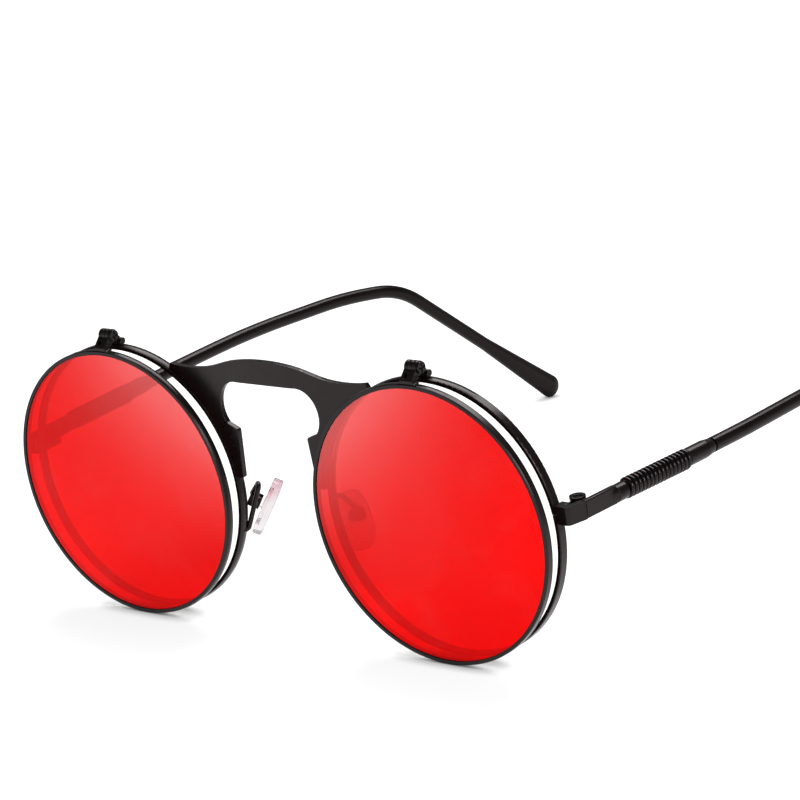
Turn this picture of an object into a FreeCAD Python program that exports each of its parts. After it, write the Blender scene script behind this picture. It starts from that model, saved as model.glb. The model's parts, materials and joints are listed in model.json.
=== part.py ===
import FreeCAD, Part
import math
import os
from FreeCAD import Vector

# Flip up sunglasses: a round metal frame with clear lenses, and a mirrored lens hinged above each.
# Everything is drawn in the front frame: X to the wearer's left, Y backwards, Z up, millimetres.
# The lens centres lie at Z = 0 and the front faces of the flip rims at Y = 0.
# The left side is modelled and the right side is its mirror image, but both flip hinges are the same parts.
# At the end all pieces are turned about X, so that the flip rims and the temple tips stand on Z = 0.

# Fits and shared values
overrun = 1.0            # how far a cutting tool passes the piece that it cuts
solder_gap = 0.02        # between pieces that are soldered together
lens_fit = 0.04          # lens bevel in its groove
running_fit = 0.03       # radial, screw in a turning knuckle
seat_fit = 0.01          # radial, screw in the knuckle that holds it
sleeve_fit = 0.03        # radial, sleeve and ear piece on the core wire
knuckle_play = 0.06      # side play between knuckles
head_gap = 0.02          # under a screw's head
tiny = 1e-6              # directions and sizes closer than this are the same

# Lenses and rims
lens_spacing = 70.5
flip_rim_radius = 25.0
flip_rim_wall = 0.82
flip_rim_depth = 1.45
flip_rim_edge = 0.22
flip_groove_depth = 0.36
flip_groove_width = 0.8
flip_lens_thickness = 1.1
flip_lens_curve = 500.0
eyewire_setback = 3.75   # from the flip rim's front to the eyewire's front
eyewire_radius = 24.9
eyewire_wall = 0.8
eyewire_depth = 1.85
eyewire_edge = 0.25
eyewire_groove_depth = 0.36
eyewire_groove_width = 0.8
clear_lens_thickness = 1.3
clear_lens_curve = 300.0

# Bridge plate
bridge_thickness = 1.0
bridge_front = 3.3
bridge_fold_x = 5.5      # the flanks are folded back outside this
bridge_fold_angle = 3.0
bridge_bar_height = 4.4
bridge_tab_width = 2.35
bridge_bulge = 0.95      # how far the keyhole widens past the eyewires' closest points
bridge_tip_reach = 1.0   # plate beyond the eyewire at its tip
bridge_tip_angle = 60.5
bridge_dip_reach = 3.7   # plate beyond the eyewire at the dip
bridge_dip_angle = 51.0
bridge_corner = 0.5      # round of a tab's corners
bridge_tab_slant = 0.6   # foot of a tab's edge outwards
# heights as shares of the eyewire's radius
bridge_top_share = 1.002
bridge_shoulder_share = 0.964
bridge_slope_share = 0.915
bridge_side_share = 0.751
bridge_bulge_share = 0.63
bridge_waist_share = 0.507
bridge_step_share = 0.47
bridge_tab_foot_share = 0.103
# places across the plate as shares of half the gap between the eyewires
bridge_shoulder_x_share = 0.831
bridge_slope_x_share = 1.246
bridge_corner_x_share = 0.623
bridge_side_x_share = 1.002
bridge_waist_x_share = 0.992

# Endpiece, temple hinge and rim screw
endpiece_front = 3.7
endpiece_wall = 1.1
endpiece_height = 3.15
endpiece_rise = 3.38     # height of its middle above the lens centres
endpiece_corner = 0.8
endpiece_tuck = 0.75     # front corner of the side leg inwards
hinge_out = 0.45         # hinge axis outside the eyewire
hinge_back = 9.0
hinge_butt = 1.4         # the endpiece ends this far in front of the hinge axis
butt_gap = 0.16
temple_splay = 4.6
temple_slope = 0.47
hinge_knuckle_radius = 1.25
hinge_neck = 2.25
hinge_screw_radius = 0.6
hinge_head_radius = 1.4
hinge_head_height = 0.75
hinge_head_proud = 0.1   # above the endpiece's top
hinge_relief = 0.1
hinge_knuckle_height = 1.0
recess_width = 0.34
recess_depth = 0.3
recess_share = 0.78      # reach of a cross recess as a share of the head's radius
rim_split = 0.12
rim_lug_width = 1.15
rim_lug_front = 4.95
rim_lug_depth = 1.3
rim_screw_radius = 0.35
rim_head_radius = 0.55
rim_head_height = 0.4
rim_lug_inset = 0.06

# Temple bar, spring, barrel and ear piece, measured back from the hinge axis
bar_thickness = 1.1
bar_out = 2.97           # outer face of the bar from the hinge axis
bar_end = 5.25
bar_edge = 0.25
collar_ramp = 0.9        # run-out from the bar's flat to the collar
collar_radius = 1.52
collar_length = 2.6
collar_round = 0.45
core_radius = 0.95
spring_wire = 0.64
spring_pitch = 1.08
spring_turns = 14
spring_outer_radius = 1.77
spring_end_gap = 0.05
barrel_length = 6.6
barrel_radius = 1.57
barrel_taper_length = 2.0
barrel_end_radius = 1.3
tip_gap = 0.35           # groove between the barrel and the ear piece
tip_radius = 1.33
tip_socket = 8.0
tip_bend_reach = 103.0
tip_bend_inset = 8.6
tip_bend_drop = 3.5
tip_bend_radius = 20.0
tip_hook_reach = 37.4
tip_hook_inset = 10.0
tip_hook_drop = 34.4
tip_flat_length = 22.0
tip_flat_height = 4.8
tip_flat_thickness = 2.5
tip_round = 2.4
tip_straight = 0.5       # straight run beyond the socket
tip_run_share = 0.45     # part of the shorter run that a gentle turn takes up
steepest_stand = 45.0    # end of the search for the turn that stands the frame on the table
tip_section_shares = (0, 0.5, 1)   # sections along the flat end
# along, inwards and down as shares of the bend's
tip_crest_shares = (0.606, 0.14, 0)
tip_shoulder_shares = (0.865, 0.56, 0.40)

# Flip hinge
flip_axis_back = 2.8
flip_axis_rise = 2.15    # above the higher of the two rims
flip_knuckle_radius = 1.15
flip_width = 2.5
flip_middle_width = 0.9
flip_screw_radius = 0.45
flip_head_radius = 1.02
flip_head_height = 0.35
flip_slot_relief = 0.18
bracket_window = 0.7
bracket_window_rise = 0.55
bracket_inset = 0.05
bracket_foot_width = 3.9
bracket_foot_rise = 0.9   # height of the foot's flare
bracket_front_share = 0.25   # height of the foot's front edge as a share of the axis's rise
bracket_rear_share = 0.12
leaf_lug_back = 4.95
leaf_lug_radius = 0.62
leaf_lug_rise = 0.55     # above the eyewire
leaf_foot_front = 4.2

# Nose pads
pad_in = 24.3            # from the lens centre towards the nose
pad_back = 9.6
pad_drop = 4.55
pad_hang = 0.3           # the pad's middle below its pivot
pad_flare = 27.0         # foot of the pad outwards
pad_lean = 18.0          # foot of the pad forwards
pad_splay = 33.0         # rear edge of the pad outwards
pad_length = 10.8
pad_width = 6.0
pad_thickness = 2.0
pad_edge = 0.7
insert_length = 7.0
insert_width = 3.4
insert_thickness = 0.8
insert_fit = 0.02
lug_width = 1.5
lug_radius = 0.75
pad_pivot = 1.25         # from the back of the pad to its pivot
pad_screw_radius = 0.35
pad_head_radius = 0.6
pad_head_height = 0.35
box_wall = 0.4
box_play = 0.05
box_floor = 1.0
box_lip = 0.85
box_length = 2.0
box_plate_radius = 1.35  # round back plate of the box
arm_radius = 0.45
arm_angle = 19.0         # solder point below the lens centre
arm_back = 4.6
arm_turn = 0.75
arm_foot_out = 0.0
arm_foot_back = 1.1
arm_top_in = 26.55       # from the lens centre towards the nose
arm_top_back = 7.0
arm_top_rise = -0.1
arm_over_in = 25.35
arm_over_back = 8.1
arm_end_up = 0.9         # where the arm meets the back plate, above its middle

# Worked out sizes
lens_x = lens_spacing / 2
half_nose_gap = lens_x - eyewire_radius
eyewire_inner = eyewire_radius - eyewire_wall
flip_rim_inner = flip_rim_radius - flip_rim_wall
hinge_x = lens_x + eyewire_radius + hinge_out
bar_middle = bar_out - bar_thickness / 2
endpiece_base = endpiece_rise - endpiece_height / 2
endpiece_top = endpiece_rise + endpiece_height / 2
screw_seat = endpiece_top + hinge_head_proud - hinge_head_height
knuckle_base = endpiece_rise - hinge_knuckle_height / 2 - knuckle_play
knuckle_top = knuckle_base + hinge_knuckle_height
coil_start = bar_end + collar_ramp + collar_length
coil_length = spring_turns * spring_pitch + spring_wire + 2 * spring_end_gap
barrel_start = coil_start + coil_length
barrel_end = barrel_start + barrel_length
tip_start = barrel_end + tip_gap
core_end = tip_start + tip_socket
flip_axis = Vector(0, flip_axis_back, max(flip_rim_radius, eyewire_radius) + flip_axis_rise)
reach = lens_spacing + flip_rim_radius

ORIGIN = Vector(0, 0, 0)
ALONG_X = Vector(1, 0, 0)
ALONG_Y = Vector(0, 1, 0)
ALONG_Z = Vector(0, 0, 1)


# Shared shapes

def block(low, high):
    """Box between two corners."""
    size = high - low
    return Part.makeBox(size.x, size.y, size.z, low)


def plate(points, depth):
    """Flat outline pushed along a vector."""
    return Part.Face(Part.makePolygon(points + points[:1])).extrude(depth)


def arc(start, middle, end):
    """Edge of a circle through three points."""
    return Part.Arc(start, middle, end).toShape()


def edges_along(shape, direction):
    """Straight edges that run along a direction."""
    found = []
    for edge in shape.Edges:
        straight = edge.Curve.TypeId == "Part::GeomLine"
        if straight and edge.tangentAt(edge.FirstParameter).cross(direction).Length < tiny:
            found.append(edge)
    return found


def lens_cylinder(radius):
    """Cylinder on the left lens axis, longer than the frame is deep."""
    return Part.makeCylinder(radius, 2 * reach, Vector(lens_x, -reach, 0), ALONG_Y)


def eyewire_space():
    """Room that the left eyewire and all inside it take up, with the solder round it."""
    return Part.makeCylinder(eyewire_radius + solder_gap, eyewire_depth + 2 * solder_gap,
                             Vector(lens_x, eyewire_setback - solder_gap, 0), ALONG_Y)


def cross_recess(head_radius, place, axis):
    """Cross cut for a screwdriver in the end of a screw head."""
    half = head_radius * recess_share
    arm = block(Vector(-half, -recess_width / 2, -recess_depth), Vector(half, recess_width / 2, overrun))
    other = block(Vector(-recess_width / 2, -half, -recess_depth), Vector(recess_width / 2, half, overrun))
    cutter = arm.fuse(other)
    cutter.Placement = FreeCAD.Placement(place, FreeCAD.Rotation(ALONG_Z, axis))
    return cutter


def rounded_path(points, radii):
    """Straight runs joined by tangent arcs, one radius for each inner point."""
    edges = []
    last = points[0]
    for before, corner, after, radius in zip(points, points[1:], points[2:], radii):
        into = (corner - before).normalize()
        out = (after - corner).normalize()
        half_turn = into.getAngle(out) / 2
        setback = radius * math.tan(half_turn)
        first = corner - into * setback
        second = corner + out * setback
        weight = math.cos(half_turn)
        middle = (first + second + corner * (2 * weight)) * (1 / (2 + 2 * weight))
        edges.append(Part.LineSegment(last, first).toShape())
        edges.append(arc(first, middle, second))
        last = second
    edges.append(Part.LineSegment(last, points[-1]).toShape())
    return Part.Wire(edges)


def wire_along(path, radius):
    """Round wire along a path."""
    start = path.Edges[0]
    place = start.valueAt(start.FirstParameter)
    way = start.tangentAt(start.FirstParameter)
    section = Part.Wire(Part.makeCircle(radius, place, way))
    return path.makePipeShell([section], True, False)


# Rims and lenses

def rim(outer, inner, front, depth, edge, groove, groove_width):
    """Round rim with rounded outer edges and a V groove for the lens bevel."""
    rear = front + depth
    middle = front + depth / 2
    section = [
        Vector(inner, front, 0),
        Vector(outer, front, 0),
        Vector(outer, rear, 0),
        Vector(inner, rear, 0),
        Vector(inner, middle + groove_width / 2, 0),
        Vector(inner + groove, middle, 0),
        Vector(inner, middle - groove_width / 2, 0),
    ]
    solid = Part.Face(Part.makePolygon(section + section[:1])).revolve(ORIGIN, ALONG_Y, 360)
    corners = [item for item in solid.Edges if item.Closed and abs(item.Curve.Radius - outer) < edge / 2]
    solid = solid.makeFillet(edge, corners)
    solid.translate(Vector(lens_x, 0, 0))
    return solid


def lens(inner, middle, groove, groove_width, thickness, curve):
    """Curved lens of even thickness with a V bevel that follows the rim's groove."""
    body = inner - lens_fit

    def sag(radius):
        return curve - math.sqrt(curve ** 2 - radius ** 2)

    front_edge = middle - thickness / 2
    front = front_edge - sag(body)
    half = body / 2
    half_sag = sag(half)
    rear_edge = front_edge + thickness
    rear = front + thickness
    bevel = Part.makePolygon([
        Vector(body, front_edge, 0),
        Vector(body, middle - groove_width / 2, 0),
        Vector(body + groove, middle, 0),
        Vector(body, middle + groove_width / 2, 0),
        Vector(body, rear_edge, 0),
    ])
    edges = [arc(Vector(0, front, 0), Vector(half, front + half_sag, 0), Vector(body, front_edge, 0))]
    edges += bevel.Edges
    edges.append(arc(Vector(body, rear_edge, 0), Vector(half, rear + half_sag, 0), Vector(0, rear, 0)))
    edges.append(Part.LineSegment(Vector(0, rear, 0), Vector(0, front, 0)).toShape())
    solid = Part.Face(Part.Wire(edges)).revolve(ORIGIN, ALONG_Y, 360)
    solid.translate(Vector(lens_x, 0, 0))
    return solid


def rim_screw_place():
    """Foot of the rim screw's axis."""
    return Vector(lens_x + eyewire_radius + rim_lug_width / 2, rim_lug_front + rim_lug_depth / 2, 0)


def eyewire():
    """Rim split behind the endpiece, with a lug above and below the split for the rim screw."""
    solid = rim(eyewire_radius, eyewire_inner, eyewire_setback, eyewire_depth, eyewire_edge,
                eyewire_groove_depth, eyewire_groove_width)
    out = lens_x + eyewire_radius + rim_lug_width
    lugs = block(Vector(lens_x, rim_lug_front, endpiece_base + rim_lug_inset),
                 Vector(out, rim_lug_front + rim_lug_depth, endpiece_top - rim_lug_inset))
    lugs = lugs.cut(lens_cylinder(eyewire_radius - (eyewire_wall - eyewire_groove_depth) / 2))
    solid = solid.fuse(lugs)
    lug_rear = rim_lug_front + rim_lug_depth
    split = block(Vector(lens_x, eyewire_setback - overrun, endpiece_rise - rim_split / 2),
                  Vector(out + overrun, lug_rear + overrun, endpiece_rise + rim_split / 2))
    hole_foot = rim_screw_place() + ALONG_Z * endpiece_base
    hole = Part.makeCylinder(rim_screw_radius + seat_fit, endpiece_height, hole_foot)
    return solid.cut(split).cut(hole).removeSplitter()


def rim_screw():
    """Small screw that closes the split, its head under the lower lug."""
    place = rim_screw_place()
    seat = endpiece_base + rim_lug_inset
    foot = place + ALONG_Z * (seat - head_gap - rim_head_height)
    head = Part.makeCylinder(rim_head_radius, rim_head_height, foot)
    shaft = Part.makeCylinder(rim_screw_radius, endpiece_top - rim_lug_inset - foot.z, foot)
    slot = block(Vector(-rim_head_radius, -recess_width / 2, -overrun),
                 Vector(rim_head_radius, recess_width / 2, recess_depth))
    slot.translate(foot)
    return shaft.fuse(head).cut(slot).removeSplitter()


# Bridge

def polar(radius, angle):
    """Point round the left lens centre, measured up from the nose side."""
    turn = math.radians(angle)
    return Vector(lens_x - radius * math.cos(turn), 0, radius * math.sin(turn))


def bridge():
    """Stamped plate: one outline pushed through, then trimmed to a strip whose flanks are folded back."""
    top = eyewire_radius * bridge_top_share
    tip = polar(eyewire_radius + bridge_tip_reach, bridge_tip_angle)
    dip = polar(eyewire_radius + bridge_dip_reach, bridge_dip_angle)
    shoulder = Vector(half_nose_gap * bridge_shoulder_x_share, 0, eyewire_radius * bridge_shoulder_share)
    slope = Vector(half_nose_gap * bridge_slope_x_share, 0, eyewire_radius * bridge_slope_share)
    right_half = [shoulder, slope, dip, tip]
    left_half = [mirrored(point) for point in reversed(right_half)]
    crest = Part.BSplineCurve()
    crest.interpolate(left_half + [Vector(0, 0, top)] + right_half)

    tab_x = half_nose_gap - bridge_tab_width
    foot = eyewire_radius * bridge_tab_foot_share
    step = Vector(tab_x, 0, eyewire_radius * bridge_step_share)
    waist = Vector(half_nose_gap * bridge_waist_x_share, 0, eyewire_radius * bridge_waist_share)
    bulge = Vector(half_nose_gap + bridge_bulge, 0, eyewire_radius * bridge_bulge_share)
    bar_foot = top - bridge_bar_height
    corner = Vector(half_nose_gap * bridge_corner_x_share, 0, bar_foot)
    side = Vector(half_nose_gap * bridge_side_x_share, 0, eyewire_radius * bridge_side_share)
    keyhole = Part.BSplineCurve()
    keyhole.interpolate(Points=[waist, bulge, side, corner], FinalTangent=Vector(-1, 0, 0))
    inside = polar(eyewire_radius - overrun, bridge_tip_angle)
    tab_inside = Vector(lens_x - eyewire_radius + overrun, 0, foot)
    tab_edge = [
        tab_inside,
        Vector(tab_x + bridge_tab_slant, 0, foot),
        step,
        waist,
    ]
    half = [Part.LineSegment(tip, inside).toShape(), Part.LineSegment(inside, tab_inside).toShape()]
    half += Part.makePolygon(tab_edge).Edges
    half.append(keyhole.toShape())
    edges = [crest.toShape()] + half
    edges.append(Part.LineSegment(corner, mirrored(corner)).toShape())
    edges += [on_right(edge) for edge in half]
    outline = Part.Wire(Part.__sortEdges__(edges))
    solid = Part.Face(outline).extrude(Vector(0, eyewire_setback + eyewire_depth + reach, 0))
    corners = [tab_edge[1], step, mirrored(tab_edge[1]), mirrored(step)]
    solid = solid.makeFillet(bridge_corner, [
        edge for edge in edges_along(solid, ALONG_Y)
        if min((edge.Vertexes[0].Point - point).cross(ALONG_Y).Length for point in corners) < tiny])
    set_back = (lens_x - bridge_fold_x) * math.tan(math.radians(bridge_fold_angle))
    front = [
        Vector(-lens_x, bridge_front + set_back, 0),
        Vector(-bridge_fold_x, bridge_front, 0),
        Vector(bridge_fold_x, bridge_front, 0),
        Vector(lens_x, bridge_front + set_back, 0),
    ]
    rear = [point + Vector(0, bridge_thickness, 0) for point in reversed(front)]
    solid = solid.common(plate(front + rear, Vector(0, 0, 2 * eyewire_radius)))
    cutter = lens_cylinder(eyewire_radius + solder_gap)
    return solid.cut(cutter).cut(on_right(cutter)).removeSplitter()


# Temple hinge

def from_hinge(shape):
    """Carry a piece from the hinge's own frame, with Y back along the temple, to the front frame."""
    shape.rotate(ORIGIN, ALONG_Z, -temple_splay)
    shape.translate(Vector(hinge_x, hinge_back, 0))
    return shape


def hinge_point(out, back):
    """Point of the hinge's own frame in the front frame."""
    turn = math.radians(temple_splay)
    return Vector(hinge_x + out * math.cos(turn) + back * math.sin(turn),
                  hinge_back - out * math.sin(turn) + back * math.cos(turn), 0)


def hinge_line_at(out, y):
    """Where the line along the temple, a distance outside the hinge, crosses a depth of the front frame."""
    turn = math.radians(temple_splay)
    return hinge_point(out, (y - hinge_back + out * math.sin(turn)) / math.cos(turn))


def neck(base, top):
    """Knuckle of the endpiece with the neck that joins it to the side leg."""
    disc = Part.makeCylinder(hinge_knuckle_radius, top - base, Vector(0, 0, base))
    side = hinge_knuckle_radius
    root = block(Vector(-side, -hinge_neck, base), Vector(bar_out - endpiece_wall / 2, -hinge_butt, top))
    link = block(Vector(-side, -hinge_butt - overrun / 2, base), Vector(side, 0, top))
    return from_hinge(disc.fuse([root, link]))


def endpiece():
    """L-shaped plate from the eyewire round to the temple, with an upper and a lower knuckle."""
    inner = bar_out - endpiece_wall
    inside_x = lens_x + eyewire_inner
    tuck = ALONG_X * endpiece_tuck
    outline = [
        Vector(inside_x, endpiece_front, 0),
        hinge_line_at(bar_out, endpiece_front) - tuck,
        hinge_point(bar_out, -hinge_butt),
        hinge_point(inner, -hinge_butt),
        hinge_line_at(inner, endpiece_front + endpiece_wall) - tuck,
        Vector(inside_x, endpiece_front + endpiece_wall, 0),
    ]
    outline = [point + ALONG_Z * endpiece_base for point in outline]
    solid = plate(outline, Vector(0, 0, endpiece_height))
    corner = [edge for edge in edges_along(solid, ALONG_Z)
              if (edge.Vertexes[0].Point - outline[1]).cross(ALONG_Z).Length < endpiece_wall / 2]
    solid = solid.makeFillet(endpiece_corner, corner)
    lower = neck(endpiece_base, knuckle_base - knuckle_play)
    solid = solid.fuse([lower, neck(knuckle_top + knuckle_play, screw_seat)])
    bore_foot = Vector(hinge_x, hinge_back, endpiece_base)
    bore = Part.makeCylinder(hinge_screw_radius + seat_fit, endpiece_height, bore_foot)
    solid = solid.cut([bore, lens_cylinder(eyewire_radius + solder_gap)])
    return solid.removeSplitter()


def hinge_screw():
    """Upright pivot screw with a flat cross head."""
    foot = Vector(hinge_x, hinge_back, endpiece_base)
    seat = Vector(hinge_x, hinge_back, screw_seat + head_gap)
    shaft = Part.makeCylinder(hinge_screw_radius, seat.z - foot.z, foot)
    head = Part.makeCylinder(hinge_head_radius, hinge_head_height, seat)
    recess = cross_recess(hinge_head_radius, seat + ALONG_Z * hinge_head_height, ALONG_Z)
    return shaft.fuse(head).cut(recess).removeSplitter()


# Temple

def turned(stations):
    """Solid turned about the temple's middle line, from (back, radius) stations."""
    points = [Vector(0, stations[0][0], 0)]
    points += [Vector(radius, back, 0) for back, radius in stations]
    points.append(Vector(0, stations[-1][0], 0))
    return Part.Face(Part.makePolygon(points + points[:1])).revolve(ORIGIN, ALONG_Y, 360)


def along_bar(shape):
    """Carry a piece from the temple's middle line to the hinge's own frame, with the temple's slope."""
    shape.rotate(ORIGIN, ALONG_X, -temple_slope)
    shape.translate(Vector(bar_middle, 0, endpiece_rise))
    return shape


def temple_bar():
    """Flat bar with the middle knuckle, its run-out to a round collar, and the core wire."""
    half_height = endpiece_height / 2
    half = bar_thickness / 2
    collar_start = bar_end + collar_ramp
    bar = block(Vector(-half, butt_gap - hinge_butt, -half_height),
                Vector(half, collar_start, half_height))
    bar = bar.makeFillet(bar_edge, edges_along(bar, ALONG_Y))
    collar_end = collar_start + collar_length
    collar = turned([
        (bar_end, half),
        (collar_start, collar_radius),
        (collar_end, collar_radius),
        (collar_end, core_radius),
        (core_end, core_radius),
    ])
    shoulder = [edge for edge in collar.Edges
                if edge.Closed and edge.Curve.TypeId == "Part::GeomCircle"
                and abs(edge.Curve.Radius - collar_radius) < collar_ramp / 2
                and abs(edge.Curve.Center.y - collar_end) < collar_ramp / 2]
    collar = collar.makeFillet(min(collar_round, collar_radius - core_radius - spring_end_gap), shoulder)
    solid = along_bar(bar.fuse(collar))
    relief = hinge_head_radius + hinge_relief
    for base, top in ((endpiece_base - overrun, knuckle_base), (knuckle_top, endpiece_top + overrun)):
        space = Part.makeCylinder(relief, top - base, Vector(0, 0, base))
        front = block(Vector(-relief, -hinge_butt - overrun, base), Vector(relief, 0, top))
        solid = solid.cut(space.fuse(front))
    disc = Part.makeCylinder(hinge_knuckle_radius, knuckle_top - knuckle_base, Vector(0, 0, knuckle_base))
    web = block(Vector(0, 0, knuckle_base), Vector(bar_middle, hinge_knuckle_radius, knuckle_top))
    bore = Part.makeCylinder(hinge_screw_radius + running_fit, endpiece_height, Vector(0, 0, endpiece_base))
    solid = solid.fuse([disc, web]).cut(bore).removeSplitter()
    return from_hinge(solid)


def biarc(start, start_way, end, end_way):
    """Two tangent arcs between two points with given directions."""
    span = end - start
    both = start_way + end_way
    a = 2 * (start_way.dot(end_way) - 1)
    b = -2 * span.dot(both)
    c = span.dot(span)
    arm = (-b - math.sqrt(b * b - 4 * a * c)) / (2 * a)
    first = start + start_way * arm
    second = end - end_way * arm
    joint = (first + second) * 0.5
    edges = []
    for near, control, far in ((start, first, joint), (joint, second, end)):
        weight = math.cos((control - near).getAngle(far - control) / 2)
        middle = (near + far + control * (2 * weight)) * (1 / (2 + 2 * weight))
        edges.append(arc(near, middle, far))
    return edges


def coil_point(turn):
    """Point of the coil's middle line and its direction after a number of turns."""
    radius = spring_outer_radius - spring_wire / 2
    angle = 2 * math.pi * turn
    place = Vector(radius * math.cos(angle), turn * spring_pitch, radius * math.sin(angle))
    way = Vector(-radius * math.sin(angle), spring_pitch / (2 * math.pi), radius * math.cos(angle))
    return place, way.normalize()


def temple_spring():
    """Coil spring as one unbroken tube, a half turn to each pair of arcs."""
    edges = []
    halves = 2 * spring_turns
    for index in range(halves):
        start, start_way = coil_point(index / 2)
        end, end_way = coil_point((index + 1) / 2)
        edges += biarc(start, start_way, end, end_way)
    solid = wire_along(Part.Wire(edges), spring_wire / 2)
    solid.translate(Vector(0, coil_start + spring_end_gap + spring_wire / 2, 0))
    return from_hinge(along_bar(solid))


def spring_gap():
    """Least gap between neighbouring turns of the spring, measured on points of its middle line."""
    steps = 48
    points = [coil_point(index / steps)[0] for index in range(2 * steps)]
    here = points[0]
    return min((point - here).Length for point in points[steps // 2:]) - spring_wire


def temple_barrel():
    """Smooth sleeve behind the spring, tapered at the rear."""
    solid = turned([
        (barrel_start, barrel_radius),
        (barrel_end - barrel_taper_length, barrel_radius),
        (barrel_end, barrel_end_radius),
    ])
    bore = Part.makeCylinder(core_radius + sleeve_fit, 2 * tip_start, ORIGIN, ALONG_Y)
    return from_hinge(along_bar(solid.cut(bore)))


def tip_place(along, inset, drop):
    """Point of the ear piece's middle line, from the temple's middle line."""
    return Vector(-inset, along, -drop)


def tip_route():
    """Middle line of the ear piece as straight runs."""
    crest = tip_place(tip_bend_reach * tip_crest_shares[0], tip_bend_inset * tip_crest_shares[1],
                      tip_bend_drop * tip_crest_shares[2])
    shoulder = tip_place(tip_bend_reach * tip_shoulder_shares[0], tip_bend_inset * tip_shoulder_shares[1],
                         tip_bend_drop * tip_shoulder_shares[2])
    bend = tip_place(tip_bend_reach, tip_bend_inset, tip_bend_drop)
    end = tip_place(tip_bend_reach + tip_hook_reach, tip_bend_inset + tip_hook_inset,
                    tip_bend_drop + tip_hook_drop)
    return [tip_place(tip_start, 0, 0), tip_place(core_end + tip_straight, 0, 0), crest, shoulder, bend, end]


def tip_end_frame():
    """Centre of the flat end's round, and the directions along, across and up it."""
    route = tip_route()
    along = (route[-1] - route[-2]).normalize()
    across = along.cross(ALONG_Z).normalize()
    up = across.cross(along)
    return route[-1] - along * tip_round, along, across, up


def stretched(shape, centre, width, height):
    """Carry a shape of the end's radius to a place along the flat end, with the width and height there."""
    _, along, across, up = tip_end_frame()
    across = across * (width / 2 / tip_round)
    up = up * (height / 2 / tip_round)
    return shape.transformGeometry(FreeCAD.Matrix(
        across.x, up.x, along.x, centre.x,
        across.y, up.y, along.y, centre.y,
        across.z, up.z, along.z, centre.z,
        0, 0, 0, 1))


def temple_tip():
    """Plastic ear piece: a round rod with a bend, which flattens towards a rounded end."""
    route = tip_route()
    centre, along, _, _ = tip_end_frame()
    flat_start = centre - along * tip_flat_length
    points = route[:-1] + [flat_start]
    radii = []
    for before, corner, after in zip(points, points[1:], points[2:]):
        half_turn = (corner - before).getAngle(after - corner) / 2
        shorter = min((corner - before).Length, (after - corner).Length)
        radii.append(tip_run_share * shorter / math.tan(half_turn))
    radii[-1] = tip_bend_radius
    rod = wire_along(rounded_path(points, radii), tip_radius)
    round_section = Part.Wire(Part.makeCircle(tip_round))
    sections = []
    for share in tip_section_shares:
        width = 2 * tip_radius + (tip_flat_thickness - 2 * tip_radius) * share
        height = 2 * tip_radius + (tip_flat_height - 2 * tip_radius) * share
        sections.append(stretched(round_section, flat_start + (centre - flat_start) * share, width, height))
    flat = Part.makeLoft(sections, True)
    half_ball = Part.makeSphere(tip_round, ORIGIN, ALONG_Z, 0, 90, 360)
    end = stretched(half_ball, centre, tip_flat_thickness, tip_flat_height)
    socket = Part.makeCylinder(core_radius + sleeve_fit, tip_socket + sleeve_fit, route[0], ALONG_Y)
    solid = rod.fuse([flat, end]).cut(socket).removeSplitter()
    return from_hinge(along_bar(solid))


# Flip hinge

def flip_rod(radius, inner, outer, centre=flip_axis):
    """Cylinder along X on a line over the left lens, between two distances out from the lens centre."""
    return Part.makeCylinder(radius, outer - inner, Vector(lens_x + inner, centre.y, centre.z), ALONG_X)


def side_plate(points, half_width):
    """Side outline pushed through both ways from the lens centre."""
    placed = [Vector(lens_x - half_width, point.y, point.z) for point in points]
    return plate(placed, Vector(2 * half_width, 0, 0))


def flared_foot(half, base):
    """Front outline of the bracket, pushed right through: it flares out to the rim on each side."""
    foot = bracket_foot_width / 2
    neck = base + bracket_foot_rise
    ease = math.sqrt(0.5)
    corner = Vector(foot, 0, neck)
    spread = foot - half
    middle = corner - Vector(spread * ease, 0, bracket_foot_rise * ease)
    right_side = [
        Part.LineSegment(Vector(foot, 0, base - overrun), Vector(foot, 0, base)).toShape(),
        arc(Vector(foot, 0, base), middle, Vector(half, 0, neck)),
        Part.LineSegment(Vector(half, 0, neck), Vector(half, 0, base + reach)).toShape(),
    ]
    edges = right_side + [on_right(edge) for edge in right_side]
    for height, width in ((base - overrun, foot), (base + reach, half)):
        edges.append(Part.LineSegment(Vector(-width, 0, height), Vector(width, 0, height)).toShape())
    solid = Part.Face(Part.Wire(Part.__sortEdges__(edges))).extrude(Vector(0, 2 * reach, 0))
    solid.translate(Vector(lens_x, -reach, 0))
    return solid


def flip_bracket():
    """Foot on top of the flip rim that leans back to two outer knuckles."""
    half = flip_width / 2
    top = flip_rim_radius
    rear_foot = top + flip_axis_rise * bracket_rear_share
    web = [
        Vector(0, bracket_inset, top - overrun),
        Vector(0, bracket_inset, top + flip_axis_rise * bracket_front_share),
        Vector(0, flip_axis.y - flip_knuckle_radius, flip_axis.z),
        flip_axis,
        Vector(0, flip_axis.y, flip_axis.z - flip_knuckle_radius),
        Vector(0, flip_rim_depth - bracket_inset, rear_foot),
        Vector(0, flip_rim_depth - bracket_inset, top - overrun),
    ]
    foot = side_plate(web, bracket_foot_width / 2).common(flared_foot(half, top))
    solid = foot.fuse(flip_rod(flip_knuckle_radius, -half, half))
    slot_half = flip_middle_width / 2 + knuckle_play
    slot = flip_rod(flip_knuckle_radius + flip_slot_relief, -slot_half, slot_half)
    window = block(Vector(-bracket_window, -overrun, 0), Vector(0, flip_axis_back, bracket_window))
    window.translate(Vector(lens_x - bracket_inset, 0, rear_foot + bracket_window_rise))
    bore = flip_rod(flip_screw_radius + seat_fit, -flip_width, flip_width)
    return solid.cut([slot, window, bore, lens_cylinder(flip_rim_radius + solder_gap)]).removeSplitter()


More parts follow.
